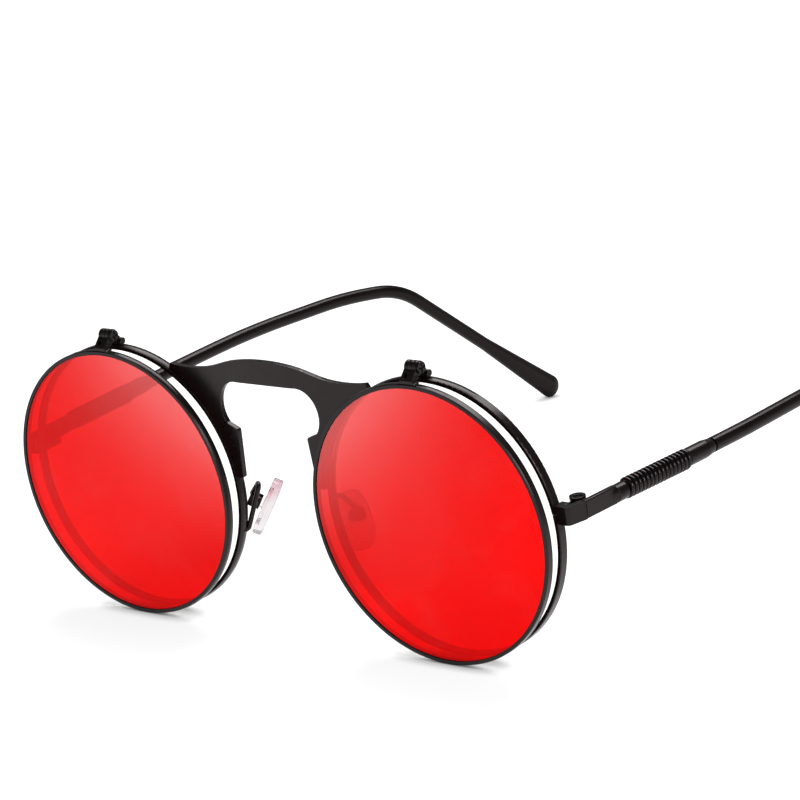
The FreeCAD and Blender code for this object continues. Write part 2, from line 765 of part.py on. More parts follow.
def flip_screw():
    """Pivot screw of the flip hinge, its cross head on the outer side."""
    half = flip_width / 2
    head_start = half + head_gap
    shaft = flip_rod(flip_screw_radius, -half, head_start)
    head = flip_rod(flip_head_radius, head_start, head_start + flip_head_height)
    end = flip_axis + ALONG_X * (lens_x + head_start + flip_head_height)
    recess = cross_recess(flip_head_radius, end, ALONG_X)
    return shaft.fuse(head).cut(recess).removeSplitter()


def flip_leaf():
    """Leaf soldered on the eyewire: a foot with a round lug, and an arm to the middle knuckle."""
    half = flip_width / 2
    middle = flip_middle_width / 2
    lug = Vector(0, leaf_lug_back, eyewire_radius + leaf_lug_rise)
    way = lug - flip_axis
    length = way.Length
    lean = math.acos((flip_knuckle_radius - leaf_lug_radius) / length)
    base = math.atan2(way.z, way.y)
    arm = []
    for turn in (base + lean, base - lean):
        out = Vector(0, math.cos(turn), math.sin(turn))
        arm += [flip_axis + out * flip_knuckle_radius, lug + out * leaf_lug_radius]
    arm = [arm[0], arm[1], arm[3], arm[2]]
    foot = block(Vector(lens_x - half, leaf_foot_front, 0), Vector(lens_x + half, leaf_lug_back, lug.z))
    solid = side_plate(arm, middle).fuse([
        flip_rod(flip_knuckle_radius, -middle, middle),
        flip_rod(leaf_lug_radius, -half, half, lug),
        foot,
    ])
    bore = flip_rod(flip_screw_radius + running_fit, -flip_width, flip_width)
    return solid.cut([bore, lens_cylinder(eyewire_radius + solder_gap)]).removeSplitter()


# Nose pads, drawn with X across the pad, Y up along it and Z towards the nose, from the middle of its back

def pad_axes():
    """Directions across, along and out of the left pad."""
    along = Vector(-math.tan(math.radians(pad_flare)), math.tan(math.radians(pad_lean)), 1).normalize()
    out = Vector(-math.cos(math.radians(pad_splay)), math.sin(math.radians(pad_splay)), 0)
    out = (out - along * out.dot(along)).normalize()
    return along.cross(out), along, out


def pad_place(point):
    """Point of the pad's own frame in the front frame."""
    across, along, out = pad_axes()
    middle = Vector(lens_x - pad_in, pad_back, -pad_drop)
    return middle + across * point.x + along * point.y + out * point.z


def from_pad(shape):
    """Carry a piece from the pad's own frame to the front frame."""
    across, along, out = pad_axes()
    turn = FreeCAD.Matrix(across.x, along.x, out.x, 0,
                          across.y, along.y, out.y, 0,
                          across.z, along.z, out.z, 0,
                          0, 0, 0, 1)
    shape.Placement = FreeCAD.Placement(pad_place(ORIGIN), FreeCAD.Placement(turn).Rotation)
    return shape


def oval(length, width, base, thickness):
    """Oval plate, long way up, hung below the pivot."""
    centre = Vector(0, -pad_hang, base)
    curve = Part.Ellipse(centre + ALONG_Y * (length / 2), centre + ALONG_X * (width / 2), centre)
    return Part.Face(Part.Wire(curve.toShape())).extrude(Vector(0, 0, thickness))


def pad_insert_plate(clearance):
    """Stiff plate in the back of the pad."""
    return oval(insert_length + 2 * clearance, insert_width + 2 * clearance, 0, insert_thickness + clearance)


def nose_pad():
    """Soft oval pad with rounded edges, and a pocket in its back for the insert."""
    solid = oval(pad_length, pad_width, 0, pad_thickness)
    solid = solid.makeFillet(pad_edge, [edge for edge in solid.Edges if edge.Closed])
    return from_pad(solid.cut(pad_insert_plate(insert_fit)))


def pad_rod(radius, start, end):
    """Cylinder on the pad's pivot, across the pad."""
    return Part.makeCylinder(radius, end - start, Vector(start, 0, -pad_pivot), ALONG_X)


def pad_insert():
    """Insert plate with the lug that turns on the pad screw."""
    half = lug_width / 2
    stem = block(Vector(-half, -lug_radius, -pad_pivot), Vector(half, lug_radius, insert_thickness / 2))
    solid = pad_insert_plate(0).fuse([stem, pad_rod(lug_radius, -half, half)])
    bore = pad_rod(pad_screw_radius + running_fit, -insert_width, insert_width)
    return from_pad(solid.cut(bore).removeSplitter())


def box_plate(radius, gap):
    """Round back plate of the pad box, with a gap round it."""
    thickness = box_wall + 2 * gap
    return Part.makeCylinder(radius + gap, thickness, Vector(0, 0, -pad_pivot - box_floor - box_wall - gap))


def pad_box():
    """U channel that holds the lug, on a round back plate."""
    inner = lug_width / 2 + box_play
    outer = inner + box_wall
    half = box_length / 2
    floor = -pad_pivot - box_floor
    walls = block(Vector(-outer, -half, floor - box_wall), Vector(outer, half, box_lip - pad_pivot))
    channel = block(Vector(-inner, -half - overrun, floor), Vector(inner, half + overrun, overrun))
    bore = pad_rod(pad_screw_radius + seat_fit, -insert_width, insert_width)
    solid = walls.cut(channel).fuse(box_plate(box_plate_radius, 0)).cut(bore)
    return from_pad(solid.removeSplitter())


def pad_screw():
    """Pivot screw of the pad, head on the rear wall of the box."""
    outer = lug_width / 2 + box_play + box_wall
    head_start = outer + head_gap
    shaft = pad_rod(pad_screw_radius, -outer, head_start)
    head = pad_rod(pad_head_radius, head_start, head_start + pad_head_height)
    return from_pad(shaft.fuse(head).removeSplitter())


def pad_arm():
    """Bent wire from the eyewire up, over and down to the back of the pad box."""
    solder = polar(eyewire_radius - eyewire_wall / 2, -arm_angle) + Vector(0, arm_back, 0)
    foot = polar(eyewire_radius + arm_foot_out, -arm_angle) + Vector(0, arm_back + arm_foot_back, 0)
    top = Vector(lens_x - arm_top_in, arm_top_back, arm_top_rise)
    over = Vector(lens_x - arm_over_in, arm_over_back, arm_top_rise)
    end = pad_place(Vector(0, arm_end_up, -pad_pivot - box_floor - box_wall / 2))
    path = rounded_path([solder, foot, top, over, end], [arm_turn, arm_turn, arm_turn])
    box_space = from_pad(box_plate(box_plate_radius, solder_gap))
    return wire_along(path, arm_radius).cut([eyewire_space(), box_space])


# Left and right

def mirrored(point):
    """Point on the other side of the nose."""
    return Vector(-point.x, point.y, point.z)


def on_right(shape):
    """Mirror image on the wearer's right."""
    return shape.mirror(ORIGIN, ALONG_X)


def shifted_right(shape):
    """The same piece over the wearer's right lens."""
    return shape.translated(Vector(-lens_spacing, 0, 0))


# Standing

def standing_turn():
    """Turn about X that brings the flip rims and the temple tips level, in degrees."""
    centre, along, across, up = tip_end_frame()
    ends = [across * (tip_flat_thickness / 2), up * (tip_flat_height / 2), along * tip_round]

    def to_front(vector, is_place):
        slope = FreeCAD.Rotation(ALONG_X, -temple_slope)
        splay = FreeCAD.Rotation(ALONG_Z, -temple_splay)
        moved = slope.multVec(vector)
        if is_place:
            moved = moved + Vector(bar_middle, 0, endpiece_rise)
        moved = splay.multVec(moved)
        if is_place:
            moved = moved + Vector(hinge_x, hinge_back, 0)
        return moved

    centre = to_front(centre, True)
    ends = [to_front(end, False) for end in ends]

    def rim_above_tip(turn):
        up_way = Vector(0, math.sin(turn), math.cos(turn))
        tip = centre.dot(up_way) - math.sqrt(sum(end.dot(up_way) ** 2 for end in ends))
        return rim_foot(turn) - tip

    low = 0.0
    high = math.radians(steepest_stand)
    for _ in range(60):
        turn = (low + high) / 2
        if rim_above_tip(turn) > 0:
            low = turn
        else:
            high = turn
    return math.degrees(turn)


def rim_foot(turn):
    """Height of the flip rim's lowest point when the front is turned, in the turned frame."""
    return flip_rim_edge * math.sin(turn) - (flip_rim_radius - flip_rim_edge) * math.cos(turn) - flip_rim_edge


flip_middle = flip_rim_depth / 2
eyewire_middle = eyewire_setback + eyewire_depth / 2
left_pieces = {
    "eyewire": eyewire(),
    "rim_screw": rim_screw(),
    "clear_lens": lens(eyewire_inner, eyewire_middle, eyewire_groove_depth, eyewire_groove_width,
                       clear_lens_thickness, clear_lens_curve),
    "endpiece": endpiece(),
    "hinge_screw": hinge_screw(),
    "flip_leaf": flip_leaf(),
    "pad_arm": pad_arm(),
    "pad_box": pad_box(),
    "pad_screw": pad_screw(),
    "flip_rim": rim(flip_rim_radius, flip_rim_inner, 0, flip_rim_depth, flip_rim_edge,
                    flip_groove_depth, flip_groove_width),
    "flip_lens": lens(flip_rim_inner, flip_middle, flip_groove_depth, flip_groove_width,
                      flip_lens_thickness, flip_lens_curve),
    "flip_bracket": flip_bracket(),
    "flip_screw": flip_screw(),
    "nose_pad": nose_pad(),
    "pad_insert": pad_insert(),
    "temple_bar": temple_bar(),
    "temple_spring": temple_spring(),
    "temple_barrel": temple_barrel(),
    "temple_tip": temple_tip(),
}
pieces = {"bridge": bridge()}
same_on_both_sides = ("flip_leaf", "flip_bracket", "flip_screw")
for name, shape in left_pieces.items():
    to_right = shifted_right if name in same_on_both_sides else on_right
    pieces[name + "_left"] = shape
    pieces[name + "_right"] = to_right(shape)

stand = standing_turn()
lift = -rim_foot(math.radians(stand))
for shape in pieces.values():
    shape.rotate(ORIGIN, ALONG_X, stand)
    shape.translate(Vector(0, 0, lift))

# The origin lies on the table, under the middle of the whole object
boxes = [shape.optimalBoundingBox(False) for shape in pieces.values()]
middle_back = (min(box.YMin for box in boxes) + max(box.YMax for box in boxes)) / 2
os.makedirs("parts", exist_ok=True)
for name, shape in pieces.items():
    shape.translate(Vector(0, -middle_back, 0))
    shape.exportStep("parts/" + name + ".step")
print("standing turn %.3f degrees, lift %.3f mm, middle %.3f mm" % (stand, lift, middle_back))
print("spring: least gap %.3f mm" % spring_gap())
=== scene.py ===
import json
import math

import bmesh
import bpy
import numpy
from mathutils import Matrix, Vector


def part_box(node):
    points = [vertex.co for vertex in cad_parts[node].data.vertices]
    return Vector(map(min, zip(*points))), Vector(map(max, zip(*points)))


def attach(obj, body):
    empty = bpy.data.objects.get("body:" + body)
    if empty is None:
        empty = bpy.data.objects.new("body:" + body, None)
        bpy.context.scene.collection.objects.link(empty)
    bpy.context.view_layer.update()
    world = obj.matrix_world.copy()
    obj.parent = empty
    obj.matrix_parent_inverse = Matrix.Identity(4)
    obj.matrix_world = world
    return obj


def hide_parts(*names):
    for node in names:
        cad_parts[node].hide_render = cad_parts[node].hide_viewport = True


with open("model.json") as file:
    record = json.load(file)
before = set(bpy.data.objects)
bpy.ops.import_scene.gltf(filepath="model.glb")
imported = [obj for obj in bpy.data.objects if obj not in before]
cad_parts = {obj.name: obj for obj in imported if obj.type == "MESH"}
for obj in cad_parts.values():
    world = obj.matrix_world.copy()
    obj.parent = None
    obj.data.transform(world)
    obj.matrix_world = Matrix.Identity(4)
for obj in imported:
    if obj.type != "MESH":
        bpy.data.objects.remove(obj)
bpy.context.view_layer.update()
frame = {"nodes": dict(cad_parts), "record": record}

# Flip up sunglasses: black painted metal, red mirrored flip lenses, clear lenses, soft clear nose pads.
# Lengths are in metres. X is the wearer's left, Y is backwards, Z is up, and the table is Z = 0.
mm = 0.001

# Camera at the photograph's angle
view_azimuth = 41.0795
view_elevation = 14.3398
view_roll = 5.7883
view_distance = 603.4 * mm
view_centre = Vector((15.679, -56.607, 40.047)) * mm
camera_lens = 157.5
sensor_width = 36.0

# Lens discs, for the painted highlight on the mirror coat's red: a painted softbox reflection, paler towards
# the upper nose side, with a redder face low down to make up for the dimmer reflection there
lens_low, lens_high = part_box("flip_lens_left")
lens_centre = (lens_low + lens_high) / 2
lens_radius = (lens_high.x - lens_low.x) / 2
lens_lean = 0.61         # how far the gradient leans to the nose
lens_bend = 0.86         # how much stronger it leans at the top
lens_drift = 0.51        # of the gradient, to each metre across the front
lens_middle = 0.42       # place of the lens centre on the gradient
lens_span = 3            # lens radii from end to end of the gradient
lens_mirror = 0.50       # metallic share of the face
lens_back = (0.64, 0.03, 0.03)
lens_painted_reflection = (0.012, 0.006, 0.006)   # painted dark reflection: reflected and bounced rays see the lens nearly black, so the metal mirrors almost no red and the table shadows stay neutral

# Heights of the nose pads, for the painted pink at their tops, standing in for the red lens refracted through
# them
pad_low, pad_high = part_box("nose_pad_left")

# Table, its shadows, and the painted contact shadows that darken it close to the object
table_half = 4.0
table_white = (0.8, 0.8, 0.8)
table_shadow = (0.42, 0.42, 0.42)
contact_reach = 3 * mm
contact_depth = 0.9      # more is darker

# Strength of the room as a light, and where it is seen
room_dim = 0.45
room_bright = 1.0

# Black finishes
black_ior = 1.22
warm_black = (1.0, 0.85, 0.87, 1.0)
grain_depth = 0.02 * mm

# Mesh finishing
merge_distance = 0.0005 * mm
sharp_angle = math.radians(32)
flat_angle = math.radians(0.6)
edge_segments = 2

# Round section of the rims' outer faces
rim_sector = 0.5         # further down than this share of the radius, nothing is fixed to a rim
rim_cuts = 7             # edges across the face
rim_touch = 0.004 * mm   # places closer than this are the same
round_rims = ("flip_rim", "eyewire")

# Coil springs
spring_wire = 0.74 * mm
spring_turns = 16
spring_slim = 0.065 * mm # how much slimmer than the CAD spring
spring_steps = 40        # points to a turn
spring_sides = 14        # points round the wire

# Soft nose pads
pad_stations = 26        # rings from the back to the face
pad_steps = 64           # points round a ring
pad_fullness = 8.0       # 2 is an ellipse, more is squarer
pad_outline = 2.8
pad_waist = 0.45         # height of the widest ring as a share of the thickness
pad_taper = 0.04         # how much narrower the top is

# Edge rounding of each stamped, milled or turned piece
edge_rounds = {
    "flip_rim": 0.06 * mm,
    "eyewire": 0.06 * mm,
    "bridge": 0.16 * mm,
    "endpiece": 0.14 * mm,
    "flip_leaf": 0.08 * mm,
    "flip_bracket": 0.09 * mm,
    "temple_bar": 0.06 * mm,
    "temple_barrel": 0.08 * mm,
    "pad_box": 0.05 * mm,
    "hinge_screw": 0.06 * mm,
    "flip_screw": 0.05 * mm,
    "rim_screw": 0.04 * mm,
    "pad_screw": 0.04 * mm,
    "pad_insert": 0.05 * mm,
}


# Node helpers

def new_material(name):
    """Material with an empty node tree, its tree and its output."""
    material = bpy.data.materials.new(name)
    material.use_nodes = True
    tree = material.node_tree
    tree.nodes.clear()
    return material, tree, tree.nodes.new("ShaderNodeOutputMaterial")


def add_node(tree, kind, **settings):
    """Node of a kind, with its settings and the values of its inputs."""
    node = tree.nodes.new(kind)
    for name, value in settings.pop("inputs", {}).items():
        node.inputs[name].default_value = value
    for name, value in settings.items():
        setattr(node, name, value)
    return node


def math_node(tree, operation, first, second=None):
    """Math node whose inputs are sockets or numbers. Gives its result."""
    node = add_node(tree, "ShaderNodeMath", operation=operation)
    for socket, value in zip(node.inputs, (first, second)):
        if isinstance(value, bpy.types.NodeSocket):
            tree.links.new(value, socket)
        elif value is not None:
            socket.default_value = value
    return node.outputs[0]


def ramp_node(tree, value, stops):
    """Colour ramp with the given stops. Gives its colour."""
    node = add_node(tree, "ShaderNodeValToRGB")
    elements = node.color_ramp.elements
    while len(elements) < len(stops):
        elements.new(1.0)
    for element, (place, colour) in zip(elements, stops):
        element.position = place
        element.color = (*colour, 1.0)
    tree.links.new(value, node.inputs["Fac"])
    return node.outputs["Color"]


def span_node(tree, value, low, high):
    """Value from 0 to 1 carried to another span."""
    node = add_node(tree, "ShaderNodeMapRange", inputs={"To Min": low, "To Max": high})
    tree.links.new(value, node.inputs["Value"])
    return node.outputs["Result"]


def mix_node(tree, share, first, second):
    """Mix of two colours, each a socket or a constant. Gives its colour."""
    node = add_node(tree, "ShaderNodeMix", data_type="RGBA")
    tree.links.new(share, next(socket for socket in node.inputs if socket.identifier == "Factor_Float"))
    for name, value in (("A_Color", first), ("B_Color", second)):
        socket = next(socket for socket in node.inputs if socket.identifier == name)
        if isinstance(value, bpy.types.NodeSocket):
            tree.links.new(value, socket)
        else:
            socket.default_value = (*value, 1.0)
    return next(socket for socket in node.outputs if socket.identifier == "Result_Color")


# Effects that several materials use

def surface_grain_group():
    """Fine orange peel of a finish, and slow cloudy changes of its tone."""
    group = bpy.data.node_groups.new("surface grain", "ShaderNodeTree")
    for name in ("Grain Scale", "Cloud Scale"):
        group.interface.new_socket(name, in_out="INPUT", socket_type="NodeSocketFloat")
    for name in ("Height", "Cloud"):
        group.interface.new_socket(name, in_out="OUTPUT", socket_type="NodeSocketFloat")
    given = add_node(group, "NodeGroupInput")
    result = add_node(group, "NodeGroupOutput")
    place = add_node(group, "ShaderNodeTexCoord")
    grain = add_node(group, "ShaderNodeTexNoise", inputs={"Detail": 2.0, "Roughness": 0.5})
    cloud = add_node(group, "ShaderNodeTexNoise", inputs={"Detail": 4.0, "Roughness": 0.6})
    for noise, scale in ((grain, "Grain Scale"), (cloud, "Cloud Scale")):
        group.links.new(place.outputs["Object"], noise.inputs["Vector"])
        group.links.new(given.outputs[scale], noise.inputs["Scale"])
    group.links.new(grain.outputs["Fac"], result.inputs["Height"])
    group.links.new(cloud.outputs["Fac"], result.inputs["Cloud"])
    return group


def front_light_group():
    """Strength of the room in reflections: bright in front of the object, dim behind it."""
    group = bpy.data.node_groups.new("front light", "ShaderNodeTree")
    group.interface.new_socket("Place", in_out="INPUT", socket_type="NodeSocketVector")
    group.interface.new_socket("Strength", in_out="OUTPUT", socket_type="NodeSocketFloat")
    given = add_node(group, "NodeGroupInput")
    result = add_node(group, "NodeGroupOutput")
    direction = add_node(group, "ShaderNodeVectorMath", operation="NORMALIZE")
    axes = add_node(group, "ShaderNodeSeparateXYZ")
    fade = add_node(group, "ShaderNodeMapRange", interpolation_type="SMOOTHSTEP",
                    inputs={"From Min": -0.7, "From Max": 0.6, "To Min": 1.34, "To Max": 0.38})
    group.links.new(given.outputs["Place"], direction.inputs[0])
    group.links.new(direction.outputs["Vector"], axes.inputs["Vector"])
    group.links.new(axes.outputs["Y"], fade.inputs["Value"])
    group.links.new(fade.outputs["Result"], result.inputs["Strength"])
    return group


surface_grain = surface_grain_group()
front_light = front_light_group()


def grain_in(tree, grain_scale, cloud_scale):
    """The surface grain group placed in a material."""
    node = add_node(tree, "ShaderNodeGroup", node_tree=surface_grain)
    node.inputs["Grain Scale"].default_value = grain_scale
    node.inputs["Cloud Scale"].default_value = cloud_scale
    return node


def black_material(name, dark, light, gloss, grain_size, cloud_size, bump, shine):
    """Black finish: a tone between two colours, gloss that varies a little, and a fine grain."""
    material, tree, output = new_material(name)
    shader = add_node(tree, "ShaderNodeBsdfPrincipled",
                      inputs={"IOR": black_ior, "Specular IOR Level": shine, "Specular Tint": warm_black})
    grain = grain_in(tree, 1 / grain_size, 1 / cloud_size)
    tone = ramp_node(tree, grain.outputs["Cloud"], [(0.35, dark), (0.65, light)])
    roughness = span_node(tree, grain.outputs["Cloud"], *gloss)
    relief = add_node(tree, "ShaderNodeBump", inputs={"Strength": bump, "Distance": grain_depth})
    tree.links.new(grain.outputs["Height"], relief.inputs["Height"])
    tree.links.new(tone, shader.inputs["Base Color"])
    tree.links.new(roughness, shader.inputs["Roughness"])
    tree.links.new(relief.outputs["Normal"], shader.inputs["Normal"])
    tree.links.new(shader.outputs["BSDF"], output.inputs["Surface"])
    return material


# Materials

def black_paint():
    """Satin black paint baked on metal."""
    return black_material("satin_black_paint", (0.0040, 0.0028, 0.0028), (0.0058, 0.0042, 0.0042),
                          (0.24, 0.32), 0.35 * mm, 7 * mm, 0.12, 0.9)


def black_spring():
    """Black plated spring wire, glossier than the paint."""
    return black_material("black_spring_wire", (0.0036, 0.0030, 0.0030), (0.0052, 0.0044, 0.0044),
                          (0.10, 0.16), 0.20 * mm, 4 * mm, 0.10, 1.0)


def black_screw():
    """Blackened screw steel."""
    return black_material("blackened_screw", (0.0036, 0.0030, 0.0030), (0.0056, 0.0048, 0.0048),
                          (0.10, 0.18), 0.15 * mm, 2 * mm, 0.10, 1.0)


def black_tip():
    """Moulded black plastic of the ear pieces."""
    return black_material("black_ear_plastic", (0.0040, 0.0029, 0.0029), (0.0058, 0.0043, 0.0043),
                          (0.20, 0.30), 0.50 * mm, 12 * mm, 0.08, 0.73)


def glass_material(name, foot, top, gloss, ior):
    """Clear solid with faint smears in its gloss, and a colour that changes up the nose pads' height; on the
    pads the top colour is painted light from the red lens.
    """
    material, tree, output = new_material(name)
    shader = add_node(tree, "ShaderNodeBsdfPrincipled", inputs={"Transmission Weight": 1.0, "IOR": ior})
    grain = grain_in(tree, 1 / (0.6 * mm), 1 / (6 * mm))
    place = add_node(tree, "ShaderNodeTexCoord")
    axes = add_node(tree, "ShaderNodeSeparateXYZ")
    tree.links.new(place.outputs["Object"], axes.inputs["Vector"])
    height = math_node(tree, "SUBTRACT", axes.outputs["Z"], pad_low.z)
    share = math_node(tree, "DIVIDE", height, pad_high.z - pad_low.z)
    drift = span_node(tree, grain.outputs["Cloud"], -0.04, 0.04)
    # on the pads the top colour is painted light: the red lens refracted through the clear pad
    tone = ramp_node(tree, math_node(tree, "ADD", share, drift), [(0.62, foot), (0.84, top)])
    tree.links.new(tone, shader.inputs["Base Color"])
    tree.links.new(span_node(tree, grain.outputs["Cloud"], *gloss), shader.inputs["Roughness"])
    tree.links.new(shader.outputs["BSDF"], output.inputs["Surface"])
    return material


def clear_lens_glass():
    """Clear lens with almost no tint."""
    return glass_material("clear_lens", (1.0, 1.0, 1.0), (0.985, 0.99, 0.99), (0.0, 0.012), 1.10)


def pad_silicone():
    """Soft clear silicone with a trace of pink, and painted pink from the red lens at the top."""
    return glass_material("clear_silicone", (0.67, 0.635, 0.645), (0.57, 0.385, 0.43), (0.02, 0.08), 1.22)


def pad_core_plastic():
    """Stiff clear core inside each nose pad, with painted rose from the red lens at its top."""
    return glass_material("pad_core_plastic", (0.95, 0.92, 0.925), (0.90, 0.52, 0.58), (0.05, 0.12), 1.28)


def red_mirror():
    """Red mirror coat on the face with a painted highlight, paler towards the upper nose side, and dark red
    tint at the back.
    """
    material, tree, output = new_material("red_mirror_coat")
    shader = add_node(tree, "ShaderNodeBsdfPrincipled", inputs={"Transmission Weight": 1.0, "IOR": 1.06})
    place = add_node(tree, "ShaderNodeTexCoord")
    axes = add_node(tree, "ShaderNodeSeparateXYZ")
    tree.links.new(place.outputs["Object"], axes.inputs["Vector"])
    outward = math_node(tree, "SUBTRACT", math_node(tree, "ABSOLUTE", axes.outputs["X"]), lens_centre.x)
    upward = math_node(tree, "SUBTRACT", axes.outputs["Z"], lens_centre.z)
    lean = math_node(tree, "ADD", math_node(tree, "MULTIPLY", upward, lens_bend / lens_radius), lens_lean)
    slant = math_node(tree, "SUBTRACT", upward, math_node(tree, "MULTIPLY", outward, lean))
    share = math_node(tree, "ADD", math_node(tree, "DIVIDE", slant, lens_span * lens_radius), lens_middle)
    share = math_node(tree, "SUBTRACT", share, math_node(tree, "MULTIPLY", axes.outputs["X"], lens_drift))
    # painted reflection: paler towards the upper nose side, like a softbox mirrored there, and redder at the
    # bottom, where the real reflection is dimmer
    face_red_with_painted_highlight = ramp_node(tree, share, [
        (0.05, (0.97, 0.0015, 0.0015)),
        (0.20, (0.93, 0.0044, 0.0042)),
        (0.30, (0.84, 0.0080, 0.0077)),
        (0.40, (0.82, 0.0125, 0.0121)),
        (0.50, (0.81, 0.0224, 0.0218)),
        (0.60, (0.81, 0.0385, 0.0376)),
        (0.72, (0.82, 0.0665, 0.0652)),
        (0.85, (0.83, 0.1150, 0.1130)),
        (0.97, (0.83, 0.1450, 0.1430)),
    ])
    facing = add_node(tree, "ShaderNodeSeparateXYZ")
    tree.links.new(place.outputs["Normal"], facing.inputs["Vector"])
    behind = math_node(tree, "GREATER_THAN", facing.outputs["Y"], 0.5)
    path = add_node(tree, "ShaderNodeLightPath")
    tone = mix_node(tree, behind, face_red_with_painted_highlight, lens_back)
    # painted reflection: to reflected and bounced rays the lens shows nearly black
    tone = mix_node(tree, path.outputs["Is Reflection Ray"], tone, lens_painted_reflection)
    tree.links.new(span_node(tree, behind, lens_mirror, 0.0), shader.inputs["Metallic"])
    grain = grain_in(tree, 1 / (0.8 * mm), 1 / (9 * mm))
    tree.links.new(tone, shader.inputs["Base Color"])
    tree.links.new(span_node(tree, grain.outputs["Cloud"], 0.0, 0.03), shader.inputs["Roughness"])
    tree.links.new(shader.outputs["BSDF"], output.inputs["Surface"])
    return material


finishes = {
    "black_metal": black_paint(),
    "spring_wire": black_spring(),
    "screw_steel": black_screw(),
    "red_mirror": red_mirror(),
    "clear_glass": clear_lens_glass(),
    "clear_silicone": pad_silicone(),
    "pad_core": pad_core_plastic(),
    "black_plastic": black_tip(),
}


# Pieces

def stem_of(node):
    """Node's name without its side."""
    for side in ("_left", "_right"):
        node = node.removesuffix(side)
    return node


def corners_of(node):
    """Corners of a CAD piece, one to a row."""
    return numpy.array([tuple(vertex.co) for vertex in frame["nodes"][node].data.vertices])


def close_rings(skin, rings):
    """Faces between each ring of corners and the next."""
    for lower, upper in zip(rings, rings[1:]):
        for corner in range(len(lower)):
            following = (corner + 1) % len(lower)
            skin.faces.new((lower[corner], lower[following], upper[following], upper[corner]))


def smooth_piece(skin, node):
    """Smooth piece for a node, made of a skin that is used up."""
    mesh = bpy.data.meshes.new(node + "_finish")
    skin.to_mesh(mesh)
    skin.free()
    if "custom_normal" in mesh.attributes:
        mesh.attributes.remove(mesh.attributes["custom_normal"])
    mesh.shade_smooth()
    piece = bpy.data.objects.new(node + "_finish", mesh)
    bpy.context.scene.collection.objects.link(piece)
    return piece


def round_outside(skin, node):
    """Rounds the outer face of a rim over its whole width, between the borders that it has."""
    low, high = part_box("flip_lens_left" if node.endswith("_left") else "flip_lens_right")
    centre = (low + high) / 2
    axis = Vector(numpy.linalg.eigh(numpy.cov(corners_of("flip_lens_left").T))[1].T[0])

    def place(vertex):
        """Distance along the lens axis, and the arm out from it."""
        offset = vertex.co - centre
        along = offset.dot(axis)
        return along, offset - axis * along

    clear = [(along, arm.length) for along, arm in map(place, skin.verts) if arm.z < -rim_sector * arm.length]
    radius = max(reach for along, reach in clear)
    first, last = min(clear)[0], max(clear)[0]
    middle, half = (first + last) / 2, (last - first) / 2
    drop = radius - max(reach for along, reach in clear if along < first + rim_touch)
    across = []
    for edge in skin.edges:
        ends = [place(vertex) for vertex in edge.verts]
        if (all(abs(arm.length - radius) < rim_touch for along, arm in ends)
                and abs(ends[0][0] - ends[1][0]) > half):
            across.append(edge)
    bmesh.ops.subdivide_edges(skin, edges=across, cuts=rim_cuts, use_grid_fill=True)
    for vertex in skin.verts:
        along, arm = place(vertex)
        share = (along - middle) / half
        if abs(share) < 1 + rim_touch / half and -rim_touch < radius - arm.length < drop + rim_touch:
            vertex.co += arm * ((radius - drop * share * share) / arm.length - 1)


def smooth_copy(node):
    """Copy of a CAD piece as one closed skin, with its sharp edges eased."""
    skin = bmesh.new()
    skin.from_mesh(frame["nodes"][node].data)
    bmesh.ops.remove_doubles(skin, verts=skin.verts, dist=merge_distance)
    edge_round = edge_rounds.get(stem_of(node), 0)
    if edge_round:
        bmesh.ops.dissolve_limit(skin, angle_limit=flat_angle, verts=skin.verts, edges=skin.edges)
        if stem_of(node) in round_rims:
            round_outside(skin, node)
        sharp = [edge for edge in skin.edges if edge.is_manifold and edge.calc_face_angle() > sharp_angle]
        bmesh.ops.bevel(skin, geom=sharp, offset=edge_round, offset_type="OFFSET", affect="EDGES",
                        segments=edge_segments, profile=0.5, material=-1, clamp_overlap=True)
    piece = smooth_piece(skin, node)
    piece.data.set_sharp_from_angle(angle=sharp_angle)
    if edge_round:
        weighted = piece.modifiers.new("flat faces", "WEIGHTED_NORMAL")
        weighted.keep_sharp = True
    return piece


def coil_spring(node):
    """Coil wound close round the temple over the CAD spring's reach, ground flat at its ends."""
    corners = corners_of(node)
    middle = (corners.min(axis=0) + corners.max(axis=0)) / 2
    _, axes = numpy.linalg.eigh(numpy.cov((corners - corners.mean(axis=0)).T))
    along = axes.T[2]
    side = numpy.cross(along, (0, 0, 1))
    side /= numpy.linalg.norm(side)
    rise = numpy.cross(side, along)
    reach = (corners - middle) @ along
    outer = numpy.linalg.norm((corners - middle) - numpy.outer(reach, along), axis=1).max()
    radius = outer - spring_slim - spring_wire / 2
    length = reach.max() - reach.min()
    hand = math.copysign(1, middle[0])
    skin = bmesh.new()
    rings = []
    for step in range(spring_turns * spring_steps + 1):
        angle = 2 * math.pi * step / spring_steps
        place = length * (step / (spring_turns * spring_steps) - 0.5)
        outwards = side * (math.cos(angle) * hand) + rise * math.sin(angle)
        ring = []
        for corner in range(spring_sides):
            turn = 2 * math.pi * corner / spring_sides
            ground = min(max(place + math.sin(turn) * spring_wire / 2, -length / 2), length / 2)
            ring.append(skin.verts.new(middle + along * ground
                                       + outwards * (radius + math.cos(turn) * spring_wire / 2)))
        rings.append(ring)
    close_rings(skin, rings)
    for ring in (rings[0], rings[-1]):
        skin.faces.new(ring)
    bmesh.ops.recalc_face_normals(skin, faces=skin.faces)
    piece = smooth_piece(skin, node)
    piece.data.set_sharp_from_angle(angle=sharp_angle)
    return piece


